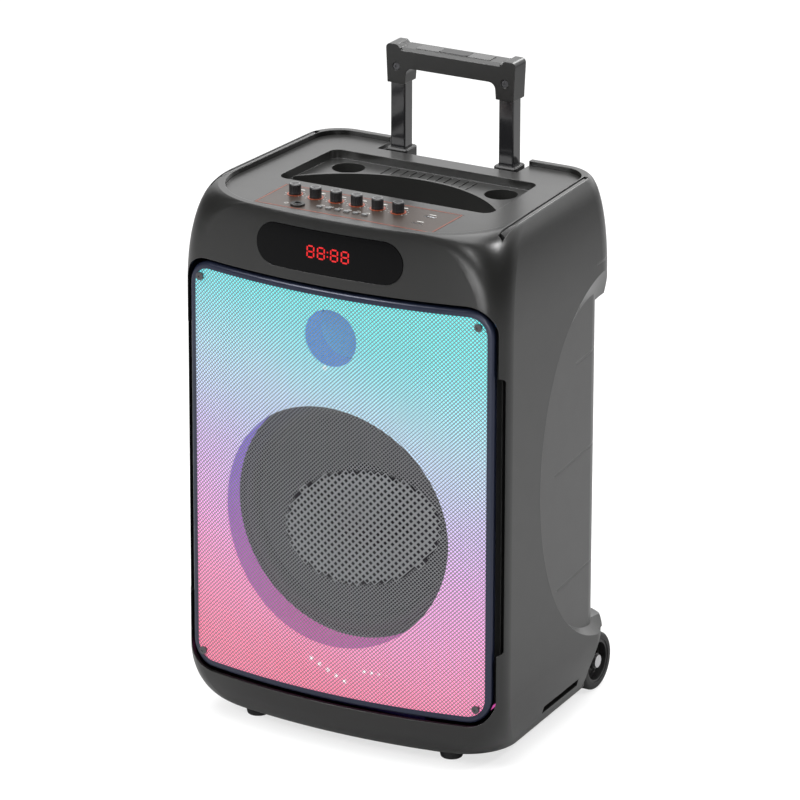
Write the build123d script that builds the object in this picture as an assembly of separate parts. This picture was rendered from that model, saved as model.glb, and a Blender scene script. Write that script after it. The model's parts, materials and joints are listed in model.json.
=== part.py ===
import os
from math import atan2, cos, degrees, radians, sin, sqrt

from build123d import *

os.makedirs("parts", exist_ok=True)

# Driving dimensions in millimetres. The speaker stands on z = 0, its front looks along -Y.
front_half_width = 192.2
rear_half_width = 179.2
front_centre_y = -146.0
front_bow_radius = 700.0
rear_y = 166.0
bottom_z = 10.0
rim_z = 588.0
shoulder_z = 483.0
heel_z = 77.0
heel_inset = (22.0, 33.7, 20.0)
heel_corner = (71.0, 50.0)
crest_inset = (14.5, 5.0, 24.8)
crest_corner = (89.0, 39.0)
recess = (22.0, 12.0, 31.5, 83.0, 32.0)
ledge = 10.0
wall = 4.0
origin_shift = -17.25

# Front opening and the lit front panel that stands in it.
opening_half = 184.5
opening_low = 54.0
opening_high = 517.0
opening_corner = 31.0
notch_half = 189.0
notch_low = 135.0
notch_high = 440.0
grille_half = 181.0
grille_low = 57.0
grille_high = 512.0
grille_corner = 28.0
grille_centre_y = -141.5
grille_sheet = 1.2
grille_back = -104.0
diffuser_thick = 2.5
baffle_front = -96.0
baffle_thick = 12.0

# Drivers.
woofer_z = 250.0
woofer_radius = 150.0
woofer_open = 133.0
insert_x = 36.7
insert_z = 258.3
insert_wide = 94.0
insert_tall = 65.5
insert_turn = 14.0
tweeter_z = 459.0
tweeter_radius = 32.0

# Top: the panel, its tray, the pocket behind the controls and the two holders.
top_z = 583.0
top_thick = 5.0
platform_z = 573.5
tray_front = -31.0
tray_back = 84.5
tray_front_half = 127.0
tray_back_half = 123.0
lip_radius = 160.0
lip_peak = 52.0
pocket_depth = 46.0
holder_x = 91.5
holder_y = 59.0
holder_radius = 17.5
holder_depth = 50.0
lip_thick = 3.0
lip_rise = 3.5
groove_pitch = 10.4
trim_front = -85.0
trim_back = 110.0
trim_gap = 6.0
collar_top = 584.0
collar_margin = 4.0
channel_half = 84.0
channel_front = 107.0
channel_floor = 530.0

# Rear cover and the slots under the side edges.
back_half = 84.0
back_low = 112.0
back_high = 428.0
back_face = 149.6
inlet_x = -34.0
switch_x = 34.0
slot_front = -6.0
slot_back = 80.0
slot_low = 30.5
slot_high = 38.5

# Controls.
plate_half = 105.5
plate_front = -114.0
plate_back = -46.0
plate_thick = 1.5
knob_y = -71.0
knob_radius = 6.3
knob_height = 11.5
knob_xs = [-80.5 + 24.5 * n for n in range(6)]
button_y = -97.0
button_xs = [-36.5 + 10.7 * n for n in range(6)]
jack_x = -60.0
jack_y = -101.0
usb_x = 78.0
usb_y = -68.0
card_x = 77.0
card_y = -93.0

# Trolley handle.
post_x = 65.0
post_y = 126.0
post_wide = 17.6
post_deep = 16.8
post_bottom = 190.0
grip_half = 77.5
grip_low = 656.5
grip_high = 699.0
bar_high = 695.8
bar_half = 59.0
arch_high = 674.3
grip_screw_z = 674.6
grip_deep = 24.0
grip_cap_half = 44.0
guide_wall = 2.0

# Wheels and feet.
wheel_radius = 32.0
wheel_width = 24.0
wheel_face = 166.5
wheel_y = 148.5
axle_radius = 4.0
foot_x = 118.0
foot_y = -89.0
foot_radius = 13.5


def block(x0, x1, y0, y1, z0, z1):
    size = Box(x1 - x0, y1 - y0, z1 - z0)
    return Pos((x0 + x1) / 2, (y0 + y1) / 2, (z0 + z1) / 2) * size


def rod_x(radius, x0, x1, y, z):
    return Pos((x0 + x1) / 2, y, z) * Rot(0, 90, 0) * Cylinder(radius, x1 - x0)


def rod_y(radius, y0, y1, x, z):
    return Pos(x, (y0 + y1) / 2, z) * Rot(90, 0, 0) * Cylinder(radius, y1 - y0)


def rod_z(radius, z0, z1, x, y):
    return Pos(x, y, (z0 + z1) / 2) * Cylinder(radius, z1 - z0)


def outline(z, side, front, rear, front_corner=29.0, rear_corner=50.0):
    # Plan outline of the cabinet at a height, moved in by an amount at each wall.
    half_front = front_half_width - side
    half_rear = rear_half_width - side
    middle = front_centre_y + front
    sag = front_bow_radius - sqrt(front_bow_radius**2 - half_front**2)
    bow = ThreePointArc((-half_front, middle + sag), (0, middle), (half_front, middle + sag))
    walls = Polyline(
        (half_front, middle + sag),
        (half_rear, rear_y - rear),
        (-half_rear, rear_y - rear),
        (-half_front, middle + sag),
    )
    flat = make_face(bow.edges() + walls.edges())
    corners = flat.vertices().sort_by(Axis.Y)
    flat = fillet(corners[0:2], front_corner)
    flat = fillet(flat.vertices().filter_by(lambda v: v.Y > rear_y - rear - 0.5), rear_corner)
    return Pos(0, 0, z) * flat


def body_solid(skin):
    # The closed cabinet form: rounded heel, straight middle, head that draws in to a soft crest.
    def level(z, inset, ends, corners):
        side, front, rear = [skin + inset * value for value in ends]
        front_corner = 29.0 + (corners[0] - 29.0) * inset - skin
        rear_corner = 50.0 + (corners[1] - 50.0) * inset - skin
        return outline(z, side, front, rear, front_corner, rear_corner)

    steps = 5
    heel = []
    low = bottom_z + skin
    for n in range(steps + 1):
        turn = radians(90.0 * n / steps)
        z = low + (heel_z - low) * (1 - cos(turn))
        heel.append(level(z, 1 - sin(turn), heel_inset, heel_corner))
    head = []
    last = radians(84.0)
    high = rim_z - shoulder_z - skin
    for n in range(steps + 1):
        turn = last * n / steps
        z = shoulder_z + high * sin(turn) / sin(last)
        head.append(level(z, (1 - cos(turn)) / (1 - cos(last)), crest_inset, crest_corner))
    middle = extrude(level(heel_z, 0, heel_inset, heel_corner), shoulder_z - heel_z)
    return loft(heel) + middle + loft(head)


def waist_plan(skin):
    # Plan of the narrow rear waist, wide in front and drawn in towards the back.
    rear = 150.0 - skin
    far = 205.9 - skin
    near = 167.6 - skin
    flat = make_face(Polyline((-far, -200), (far, -200), (near, rear), (-near, rear), (-far, -200)).edges())
    return fillet(flat.vertices().filter_by(lambda v: v.Y > 0), 40.0 - skin / 2)


def waist_core(skin):
    return extrude(waist_plan(skin), 640)


def waist_zone(grow):
    # The oval seen from the side inside which the waist is cut; its edge slopes out to the side walls.
    def oval(x, y_half, z_half, centre):
        return Plane.YZ.offset(x) * Pos(160, centre) * Ellipse(y_half + grow, z_half + grow)

    inner = 165.0
    outer = 200.0
    zone = Plane.YZ.offset(-inner) * Pos(160, 268) * Ellipse(180.0 + grow, 182.0 + grow)
    zone = extrude(zone, 2 * inner)
    for side in (-1, 1):
        zone += loft([oval(side * inner, 180.0, 182.0, 268.0), oval(side * outer, 192.4, 241.7, 296.8)])
    return zone


def crease(z, front, plan):
    # V groove round both rear corners, level above and sloping out below.
    tall = 3.8
    deep = 2.2
    low = z - tall / 2
    cut = block(-240, 240, front, 260, low, low + tall) - block(-110, 110, 0, 300, 0, 600)
    plug = loft([Pos(0, 0, low) * plan(-0.4), Pos(0, 0, low + tall) * plan(deep)])
    return cut - plug


def head_plan(skin):
    return outline(0, skin, skin, skin, 29.0 - skin, 50.0 - skin)


def side_creases():
    cuts = [crease(z, front, waist_plan) for z, front in ((159, 22), (291, 12), (397, 70))]
    return cuts + [crease(497.5, 105, head_plan)]


def wheel_well(side):
    # Pocket round the wheel, and the diagonal cut in the side wall that leaves the wheel's face open.
    low = wheel_face - wheel_width - 4.0
    high = wheel_face + 4.0
    well = block(low, high, wheel_y - 37.5, 240, 0, 68)
    flat = make_face(Polyline((100, -1), (103, 39), (131, 78), (240, 78), (240, -1), (100, -1)).edges())
    window = extrude(Plane.YZ.offset(high - 1) * flat, 80)
    shape = well + window
    return shape if side > 0 else mirror(shape, Plane.YZ)


def slab_y(half, low, high, corner, y0, y1):
    flat = Plane.XZ * Pos(0, (low + high) / 2) * RectangleRounded(2 * half, high - low, corner)
    return Pos(0, y1, 0) * extrude(flat, y1 - y0)


def tray_outline(margin):
    front = tray_front_half - margin
    back = tray_back_half - margin
    low = tray_front + margin
    high = tray_back - margin
    flat = make_face(Polyline((-front, low), (front, low), (back, high), (-back, high), (-front, low)).edges())
    return fillet(flat.vertices(), 12.0 - margin)


def pocket_outline(margin):
    # Crescent between the straight front edge of the tray and the arched lip.
    round_part = Pos(0, lip_peak - lip_radius) * Circle(lip_radius - margin)
    return (round_part & tray_outline(margin)).face()


def rim_line(y):
    # Half width of the cabinet's crest at a distance along Y.
    front_half = front_half_width - crest_inset[0]
    start = front_centre_y + crest_inset[1] + front_bow_radius - sqrt(front_bow_radius**2 - front_half**2)
    lean = (front_half_width - rear_half_width) / (rear_y - crest_inset[2] - start)
    return front_half - lean * (y - start)


def trim_bar(side, extra, slack):
    # Bar along a side rim: a narrow flat on top and a steep hollow slope down to the top panel.
    front = trim_front - extra
    back = trim_back + extra
    outer = 1.5 + slack
    inner = 7.1 - slack

    def section(y):
        x = rim_line(y)
        return make_face(
            Polyline(
                (x - outer, top_z - top_thick),
                (x - outer, rim_z + 2),
                (x - inner, rim_z + 2),
                (x - inner, top_z - top_thick),
                (x - outer, top_z - top_thick),
            ).edges()
        )

    bar = loft([Plane.XZ.offset(-front) * section(front), Plane.XZ.offset(-back) * section(back)])
    if slack > 0:
        cove = [Plane.XZ.offset(-y) * Pos(rim_line(y) - 9.6, rim_z + 2.2) * Circle(5.4) for y in (front - 1, back + 1)]
        bar -= loft(cove)
    return bar if side > 0 else mirror(bar, Plane.YZ)


def lift_slot(side, skin=0.0):
    # Finger slot under the side edge, just ahead of the wheel.
    slot = block(
        side * 176 - 20 - skin,
        side * 176 + 20 + skin,
        slot_front - skin,
        slot_back + skin,
        slot_low - skin,
        slot_high + skin,
    )
    return slot


def cabinet_shell():
    hollow = body_solid(wall)
    solid = body_solid(0) - (waist_zone(0) - waist_core(0)) - side_creases()
    cavity = hollow - (waist_zone(wall) - waist_core(wall))
    side, front, rear, front_corner, rear_corner = recess
    mouth = outline(0, side + ledge, front + ledge, rear + ledge, front_corner - ledge, rear_corner - ledge)
    above = block(-300, 300, -300, 300, top_z - top_thick - wall, 620)
    cavity -= above - extrude(mouth, 640)
    edge = channel_half + wall
    cavity -= block(-edge, edge, channel_front - wall, 300, channel_floor - wall, 600)
    well_inside = wheel_face - wheel_width - 4.0 - wall
    for side in (-1, 1):
        housing = block(well_inside, 240, 96, 300, 0, 82)
        cavity -= housing if side > 0 else mirror(housing, Plane.YZ)
        cavity -= lift_slot(side, wall)
    shell = solid - cavity
    shell -= slab_y(opening_half, opening_low, opening_high, opening_corner, -300, -60)
    shell -= slab_y(notch_half, notch_low, notch_high, 5.0, -300, -94)
    shell -= window_pill(0.3) & (body_solid(-2.0) - body_solid(1.5))
    shell -= window_pill(-4.0) & block(-100, 100, -200, -110, 500, 600)
    shell -= extrude(outline(top_z - top_thick, *recess), 40)
    shell -= block(-channel_half, channel_half, channel_front, 300, channel_floor, 640)
    for side in (-1, 1):
        shell -= wheel_well(side)
        shell -= trim_bar(side, trim_gap, 0.0)
        shell -= lift_slot(side)
        shell -= rod_z(4.0, 0, 22, side * foot_x, foot_y)
        shell -= post_hole(side * post_x, post_wide + 2 * guide_wall + 0.4, post_deep + 2 * guide_wall + 0.4)
    shell -= rod_x(axle_radius + 0.05, -wheel_face, wheel_face, wheel_y, wheel_radius)
    shell -= block(-back_half - 0.4, back_half + 0.4, 100, 260, back_low - 0.4, back_high + 0.4)
    return shell


def post_hole(x, wide, deep, z0=channel_floor - 20, z1=channel_floor + 20):
    return block(x - wide / 2, x + wide / 2, post_y - deep / 2, post_y + deep / 2, z0, z1)


def top_panel():
    # Top moulding: sunken tray with an arched lip, crescent pocket and two round holders.
    gap = 0.3
    side, front, rear, front_corner, rear_corner = recess
    shape = outline(top_z - top_thick, side + gap, front + gap, rear + gap, front_corner - gap, rear_corner - gap)
    plate = extrude(shape, top_thick)
    plate -= block(-channel_half, channel_half, channel_front, 300, 0, 640)
    under = extrude(Pos(0, 0, platform_z - 3) * tray_outline(-3.0), top_z - platform_z)
    bowl = extrude(Pos(0, 0, platform_z - pocket_depth) * pocket_outline(-3.0), pocket_depth)
    panel = plate + under + bowl
    for side in (-1, 1):
        panel += rod_z(holder_radius + 2.5, platform_z - holder_depth, platform_z, side * holder_x, holder_y)
    panel -= extrude(Pos(0, 0, platform_z) * tray_outline(0), 20)
    panel -= extrude(Pos(0, 0, platform_z - pocket_depth + 3) * pocket_outline(0), pocket_depth)
    for side in (-1, 1):
        panel -= rod_z(holder_radius, platform_z - holder_depth + 2.5, 600, side * holder_x, holder_y)
    lip = Pos(0, lip_peak - lip_radius) * (Circle(lip_radius + lip_thick) - Circle(lip_radius))
    lip = lip & Pos(0, 40) * Rectangle(2 * tray_back_half - 2, 110)
    panel += extrude(Pos(0, 0, platform_z - 1) * lip, 1 + lip_rise)
    for n in range(-5, 6):
        x = groove_pitch * n
        start = lip_peak - lip_radius + sqrt(lip_radius**2 - x**2) + lip_thick + 4
        panel -= block(x - 0.8, x + 0.8, start, tray_back - 3, platform_z - 1.2, platform_z + 1)
    edge = plate_half + 0.2
    panel -= block(-edge, edge, plate_front - 0.2, plate_back + 0.2, top_z - plate_thick, 600)
    panel -= block(-plate_half + 5, plate_half - 5, plate_front + 4, plate_back - 3, 560, 600)
    return panel


def window_pill(grow):
    return slab_y(86.0 + grow, 529.0 - grow, 574.6 + grow, 22.5 + grow, -170, -60)


def curved_block(half, low, high, corner, lift, back, edge):
    # Rounded rectangle seen from the front with a bowed face, moved back by an amount.
    front = slab_y(half, low, high, corner, -200, back)
    roll = rod_z(front_bow_radius - lift, -50, 700, 0, grille_centre_y + front_bow_radius)
    solid = front & roll
    rim = solid.faces().filter_by(GeomType.CYLINDER).sort_by(Axis.Y)[0]
    return fillet(rim.outer_wire().edges(), edge) if edge else solid


def insert_oval(grow, y0, y1):
    # Oval of the centre insert, turned in the plane of the grille.
    flat = Plane.XZ * Pos(insert_x, insert_z) * Rot(0, 0, insert_turn) * Ellipse(insert_wide + grow, insert_tall + grow)
    return Pos(0, y1, 0) * extrude(flat, y1 - y0)


def front_grille():
    outer = curved_block(grille_half, grille_low, grille_high, grille_corner, 0, grille_back, 5.0)
    sheet = grille_sheet
    inner = curved_block(
        grille_half - sheet, grille_low + sheet, grille_high - sheet, grille_corner - sheet, sheet, -90, 5.0 - sheet
    )
    return outer - inner - screw_holes(2.4) - insert_oval(0.2, -200, -110)


def bowed_sheet(lift, thick):
    # Sheet that follows the bow of the grille, moved back by an amount.
    roll = rod_z(front_bow_radius - lift, -50, 700, 0, grille_centre_y + front_bow_radius)
    return roll - rod_z(front_bow_radius - lift - thick, -60, 710, 0, grille_centre_y + front_bow_radius)


def grille_insert():
    # Coarser oval screen flush with the grille, held by a flange behind it.
    face = insert_oval(0, -200, -110) & bowed_sheet(0, grille_sheet + 0.1)
    flange = insert_oval(4.0, -200, -110) & bowed_sheet(grille_sheet + 0.1, 0.8)
    return face + (flange - insert_oval(-6.0, -200, -100))


def screw_holes(radius):
    holes = Part()
    for x in (-165.0, 165.0):
        for z in (grille_low + 17.5, grille_high - 17.5):
            holes += rod_y(radius, -200, -104, x, z)
    return holes


def light_diffuser():
    size = (grille_half - 5, grille_low + 5, grille_high - 5, grille_corner - 5)
    gap = grille_sheet + 1.0
    sheet = curved_block(*size, gap, -90, 0) - curved_block(*size, gap + diffuser_thick, -80, 0)
    sheet -= rod_y(woofer_open, -200, 0, 0, woofer_z)
    sheet -= rod_y(tweeter_radius - 1, -200, 0, 0, tweeter_z)
    return sheet - screw_holes(2.6)


def light_frame():
    # Deep tray behind the diffuser that mixes the light, open over both drivers.
    size = (grille_half - 3, grille_low + 3, grille_high - 3, grille_corner - 3)
    gap = grille_sheet + 1.0 + diffuser_thick
    outer = curved_block(*size, gap + 0.1, baffle_front, 0)
    inner = slab_y(size[0] - 3, size[1] + 3, size[2] - 3, size[3] - 3, -200, baffle_front - 3)
    tubes = rod_y(woofer_open + 5, -200, 0, 0, woofer_z) + rod_y(tweeter_radius + 6, -200, 0, 0, tweeter_z)
    frame = (outer - inner) + (outer & tubes)
    frame -= rod_y(woofer_open + 2, -200, 0, 0, woofer_z)
    frame -= rod_y(tweeter_radius + 3, -200, 0, 0, tweeter_z)
    return frame - screw_holes(2.0)


def front_baffle():
    board = slab_y(grille_half - 2, grille_low + 2, grille_high - 2, grille_corner, baffle_front, baffle_front + baffle_thick)
    board -= rod_y(woofer_radius - 12, -200, 0, 0, woofer_z)
    board -= rod_y(woofer_radius + 0.4, -200, baffle_front + 4.1, 0, woofer_z)
    board -= rod_y(tweeter_radius + 1, -200, 0, 0, tweeter_z)
    return board


def led_strips():
    # One strip of lamps along the top of the light frame and one along the bottom.
    strips = Part()
    for z in (grille_low + 7.6, grille_high - 7.6):
        strips += block(-150, 150, baffle_front - 3 - 10, baffle_front - 3, z - 0.8, z + 0.8)
        for n in range(16):
            x = -142.5 + 19.0 * n
            up = 1.6 if z < 300 else -1.6
            strips += block(x - 2.5, x + 2.5, baffle_front - 11, baffle_front - 6, min(z, z + up), max(z, z + up))
    return strips


def woofer_basket():
    ring = rod_y(woofer_radius, baffle_front, baffle_front + 4, 0, woofer_z)
    back = 62.0
    cone_out = Plane.XZ.offset(-baffle_front - 4) * Pos(0, woofer_z) * Circle(woofer_radius - 13)
    cone_end = Plane.XZ.offset(-baffle_front - 4 - back) * Pos(0, woofer_z) * Circle(64)
    bowl = loft([cone_out, cone_end])
    cut_out = Plane.XZ.offset(-baffle_front + 1) * Pos(0, woofer_z) * Circle(woofer_radius - 14.5)
    cut_end = Plane.XZ.offset(-baffle_front - 1 - back) * Pos(0, woofer_z) * Circle(61)
    hollow = loft([cut_out, cut_end]) + rod_y(30, -60, 0, 0, woofer_z)
    basket = ring + bowl - hollow
    for n in range(6):
        hole = rod_z(24, woofer_z, woofer_z + 200, 0, baffle_front + 36)
        hole = Pos(0, 0, woofer_z) * Rot(0, 60 * n + 30, 0) * Pos(0, 0, -woofer_z) * hole
        basket -= hole & rod_y(woofer_radius - 20, baffle_front + 16, baffle_front + 58, 0, woofer_z)
    for n in range(8):
        turn = radians(45 * n + 22.5)
        x = (woofer_radius - 5.5) * sin(turn)
        z = woofer_z + (woofer_radius - 5.5) * cos(turn)
        basket -= rod_y(2.4, -200, 0, x, z)
    return basket


def ring_y(outer, inner, y0, y1, z):
    return rod_y(outer, y0, y1, 0, z) - rod_y(inner, y0 - 1, y1 + 1, 0, z)


def turned_y(points, z):
    # Solid of revolution about a line along Y at height z, from (radius, y) points.
    flat = Plane.XY * make_face(Polyline(*points, points[0]).edges())
    return Pos(0, 0, z) * revolve(flat, Axis.Y)


def woofer_surround():
    edge = baffle_front
    roll = Plane.XY * Pos(119.0, edge + 4.0) * (Circle(8.0) - Circle(6.4))
    roll = roll & Plane.XY * Pos(119.0, edge + 4.0 - 8.0) * Rectangle(30, 16)
    ring = Pos(0, 0, woofer_z) * revolve(roll, Axis.Y)
    return ring + ring_y(132.0, 125.4, edge + 0.6, edge + 2.0, woofer_z) + ring_y(127, 125.4, edge + 0.6, edge + 4, woofer_z)


def woofer_cone():
    edge = baffle_front + 4.6
    points = [(110.8, edge), (110.8, edge + 1.6), (30.0, edge + 45.6), (27.0, edge + 45.6), (27.0, edge + 43.4)]
    cone = turned_y(points, woofer_z)
    return cone + ring_y(28.0, 26.4, edge + 43.4, edge + 66, woofer_z)


def woofer_cap():
    dome = Pos(0, baffle_front + 66, woofer_z) * Sphere(54.0)
    dome = dome & rod_y(45.8, baffle_front + 12, baffle_front + 37.5, 0, woofer_z)
    inner = Pos(0, baffle_front + 66, woofer_z) * Sphere(52.6)
    return dome - inner


def woofer_magnet():
    y0 = baffle_front + 66.0
    top_plate = ring_y(62, 29.6, y0, y0 + 7, woofer_z)
    ring = ring_y(74, 34, y0 + 7, y0 + 27, woofer_z)
    back_plate = rod_y(62, y0 + 27, y0 + 34, 0, woofer_z)
    pole = rod_y(25.0, y0 + 2, y0 + 27, 0, woofer_z)
    return [top_plate, ring, back_plate + pole]


def tweeter_horn():
    y0 = baffle_front - 6
    face = rod_y(tweeter_radius, y0, y0 + 4, 0, tweeter_z)
    wide = Plane.XZ.offset(-y0 - 4) * Pos(0, tweeter_z) * Circle(tweeter_radius - 3)
    narrow = Plane.XZ.offset(-y0 - 24) * Pos(0, tweeter_z) * Circle(14)
    throat = loft([wide, narrow])
    flare_front = Plane.XZ.offset(-y0 + 1) * Pos(0, tweeter_z) * Circle(tweeter_radius - 5.5)
    flare_back = Plane.XZ.offset(-y0 - 25) * Pos(0, tweeter_z) * Circle(11)
    return face + throat - loft([flare_front, flare_back])


def tweeter_driver():
    y0 = baffle_front + 18
    body = rod_y(28, y0, y0 + 26, 0, tweeter_z)
    dome = Pos(0, y0 + 4, tweeter_z) * Sphere(11.5)
    dome = dome & rod_y(10.5, y0 - 8, y0 + 1, 0, tweeter_z)
    return body + dome


def display_window():
    # Dark pill window on the brow above the light panel, following its bow.
    skin = window_pill(0) & (body_solid(-0.6) - body_solid(1.4))
    return skin.solids().sort_by(Axis.Y)[0]


def display_board():
    board = block(-44, 44, -134, -132.4, 536, 564)
    digits = block(-30, 30, -141, -134, 540, 560)
    return board + digits


def control_plate():
    plate = block(-plate_half, plate_half, plate_front, plate_back, top_z - plate_thick, top_z)
    for x in knob_xs:
        plate -= rod_z(3.4, 560, 600, x, knob_y)
    for x in button_xs:
        plate -= block(x - 3.3, x + 3.3, button_y - 2.3, button_y + 2.3, 560, 600)
    plate -= rod_z(4.6, 560, 600, jack_x, jack_y)
    plate -= block(usb_x - 6.6, usb_x + 6.6, usb_y - 2.6, usb_y + 2.6, 560, 600)
    plate -= block(card_x - 6.2, card_x + 6.2, card_y - 1.4, card_y + 1.4, 560, 600)
    return plate


def control_board():
    z = top_z - plate_thick - 12.0
    board = block(-plate_half + 7, plate_half - 7, plate_front + 7, plate_back - 6, z - 1.6, z)
    for x in button_xs:
        board += block(x - 3, x + 3, button_y - 3, button_y + 3, z, z + 5.6)
    return board - block(jack_x - 7, jack_x + 7, jack_y - 8, jack_y + 7, 500, 640)


def knob(x):
    body = rod_z(knob_radius, top_z + 0.6, top_z + knob_height, x, knob_y)
    body = chamfer(body.edges().sort_by(Axis.Z)[-1], 0.8)
    groove = block(x - 0.5, x + 0.5, knob_y - knob_radius, knob_y - 1.5, top_z + knob_height - 1, 600)
    for n in range(18):
        turn = radians(20 * n + 10)
        cx = x + (knob_radius + 0.25) * cos(turn)
        cy = knob_y + (knob_radius + 0.25) * sin(turn)
        body -= rod_z(0.6, top_z + 2.5, top_z + knob_height - 1.6, cx, cy)
    return body - groove - rod_z(3.02, 560, top_z + 8.0, x, knob_y)


def potentiometers():
    z = top_z - plate_thick - 12.0
    cans = []
    for x in knob_xs:
        can = block(x - 5, x + 5, knob_y - 5, knob_y + 5, z, z + 7)
        cans.append(can + rod_z(3.0, z + 7, top_z + 7.5, x, knob_y))
    return cans


def push_button(x):
    cap = block(x - 2.9, x + 2.9, button_y - 1.9, button_y + 1.9, top_z - plate_thick - 0.8, top_z + 1.6)
    cap = fillet(cap.edges().filter_by(Axis.Z), 0.6)
    flange = block(x - 4.2, x + 4.2, button_y - 3.0, button_y + 3.0, top_z - plate_thick - 1.9, top_z - plate_thick - 0.8)
    stem = rod_z(1.3, top_z - plate_thick - 5.4, top_z - plate_thick - 1.9, x, button_y)
    return cap + flange + stem


def jack_socket():
    # Sleeve for a 6.35 mm plug with its dress nut on the plate.
    low = top_z - plate_thick - 26
    sleeve = rod_z(4.5, low, top_z + 2.6, jack_x, jack_y)
    nut = rod_z(7.6, top_z, top_z + 2.0, jack_x, jack_y)
    case = block(jack_x - 6.5, jack_x + 6.5, jack_y - 6.5, jack_y + 6.5, low, top_z - plate_thick - 3)
    return sleeve + nut + case - rod_z(3.25, low + 3, 640, jack_x, jack_y)


def usb_socket():
    z = top_z - plate_thick - 12.0
    case = block(usb_x - 6.5, usb_x + 6.5, usb_y - 2.5, usb_y + 2.5, z, top_z - 0.3)
    case -= block(usb_x - 5.9, usb_x + 5.9, usb_y - 2.0, usb_y + 2.0, z + 1, 640)
    return case + block(usb_x - 5.5, usb_x + 5.5, usb_y - 0.9, usb_y + 0.9, z + 1, top_z - 1.5)


def card_socket():
    z = top_z - plate_thick - 12.0
    case = block(card_x - 6.1, card_x + 6.1, card_y - 1.3, card_y + 1.3, z, top_z - 0.3)
    return case - block(card_x - 5.5, card_x + 5.5, card_y - 0.6, card_y + 0.6, z + 1, 640)


def back_panel():
    panel = slab_y(back_half, back_low, back_high, 6.0, back_face - 5, back_face)
    panel += slab_y(back_half + 8, back_low - 8, back_high + 8, 8.0, 141, 145.4)
    panel -= rod_y(31.2, 100, 200, 0, 372)
    panel -= block(-62, 62, 100, 200, 142, 258)
    for x, z in back_screw_places():
        panel -= rod_y(2.2, 100, 200, x, z)
    return panel


def back_screw_places():
    return [(side * (back_half - 8), z) for side in (-1, 1) for z in (back_low + 10, 270, back_high - 10)]


def screw_y(radius, length, x, face_y, z, out):
    # Pan head screw along Y, head proud of the face on the given side.
    head = rod_y(radius, min(face_y, face_y + out * 2), max(face_y, face_y + out * 2), x, z)
    shank = rod_y(radius * 0.5, min(face_y, face_y - out * length), max(face_y, face_y - out * length), x, z)
    slot = rod_y(radius * 0.4, face_y + out * 1 - 1, face_y + out * 1 + 1, x, z)
    return head + shank - Pos(0, out * 1.2, 0) * slot


def back_screws():
    return [screw_y(4.0, 12, x, back_face, z, 1) for x, z in back_screw_places()]


def grille_screws():
    screws = []
    for x in (-165.0, 165.0):
        for z in (grille_low + 17.5, grille_high - 17.5):
            near = abs(x) - 4.3
            face = grille_centre_y + front_bow_radius - sqrt(front_bow_radius**2 - near**2)
            screws.append(screw_y(4.2, 10, x, face - 0.02, z, -1))
    return screws


def bass_port():
    tube = rod_y(31.0, 60, back_face + 0.2, 0, 372) + rod_y(37.0, back_face, back_face + 3, 0, 372)
    tube = chamfer(tube.edges().sort_by(Axis.Y)[-1], 2.0)
    return tube - rod_y(28.0, 0, 200, 0, 372)


def io_plate():
    plate = slab_y(66.0, 138.0, 262.0, 4.0, back_face, back_face + 2)
    plate -= block(inlet_x - 14.2, inlet_x + 14.2, 100, 200, 164, 184.4)
    plate -= block(switch_x - 7.3, switch_x + 7.3, 100, 200, 163.4, 185)
    for n in range(9):
        plate -= block(-46, 46, 100, 200, 205 + 5.5 * n, 207.5 + 5.5 * n)
    return plate


def power_inlet():
    # Two-pin mains inlet for a detachable lead.
    face = back_face + 2
    body = block(inlet_x - 14, inlet_x + 14, back_face - 20, face, 164.2, 184.2)
    body += block(inlet_x - 17, inlet_x + 17, face, face + 1.6, 161.2, 187.2)
    shape = Plane.XZ * Pos(inlet_x, 174.2) * SlotOverall(16, 8)
    recess = Pos(0, face + 3, 0) * extrude(shape, 14)
    pins = rod_y(1.2, face - 11, face - 1, inlet_x - 4, 174.2) + rod_y(1.2, face - 11, face - 1, inlet_x + 4, 174.2)
    return body - recess + pins


def power_rocker():
    # See-saw cap that tips on a pin across the switch frame.
    centre = back_face + 0.5
    cap = block(switch_x - 5.2, switch_x + 5.2, centre - 4.5, centre + 3.2, 165.8, 182.6)
    cap -= Pos(switch_x, centre + 17.2, 174.2) * Rot(0, 90, 0) * Cylinder(15.5, 30)
    return cap - rod_x(0.95, -200, 200, centre, 174.2)


def rocker_frame():
    face = back_face + 2
    frame = block(switch_x - 7, switch_x + 7, back_face - 14, face, 163.7, 184.7)
    frame += block(switch_x - 9, switch_x + 9, face, face + 1.2, 161.7, 186.7)
    frame -= block(switch_x - 5.6, switch_x + 5.6, back_face - 9, face + 2, 164.4, 184.0)
    return frame + rod_x(0.9, switch_x - 6.5, switch_x + 6.5, back_face + 0.5, 174.2)


def guide_tubes():
    tubes = []
    wide = post_wide + 2 * guide_wall
    deep = post_deep + 2 * guide_wall
    for side in (-1, 1):
        tube = post_hole(side * post_x, wide, deep, 62, channel_floor - 0.2)
        tubes.append(tube - post_hole(side * post_x, post_wide + 0.6, post_deep + 0.6, 64, 600))
    return tubes


def tube_collars():
    collars = []
    for side in (-1, 1):
        wide = post_wide + 2 * collar_margin
        deep = post_deep + 2 * collar_margin
        ring = post_hole(side * post_x, wide, deep, channel_floor, collar_top)
        ring = fillet(ring.edges().filter_by(Axis.Z), 3.0)
        ring = chamfer(ring.edges().group_by(Axis.Z)[-1], 1.5)
        collars.append(ring - post_hole(side * post_x, post_wide + 0.2, post_deep + 0.2, 500, 600))
    return collars


def handle_posts():
    posts = []
    for side in (-1, 1):
        post = post_hole(side * post_x, post_wide, post_deep, post_bottom, grip_low + 22)
        post = fillet(post.edges().filter_by(Axis.Z), 1.6)
        post -= post_hole(side * post_x, post_wide - 3, post_deep - 3, post_bottom - 1, grip_low + 20)
        posts.append(post - rod_y(2.0, post_y - 12, post_y - 4, side * post_x, grip_screw_z))
    return posts


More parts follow.
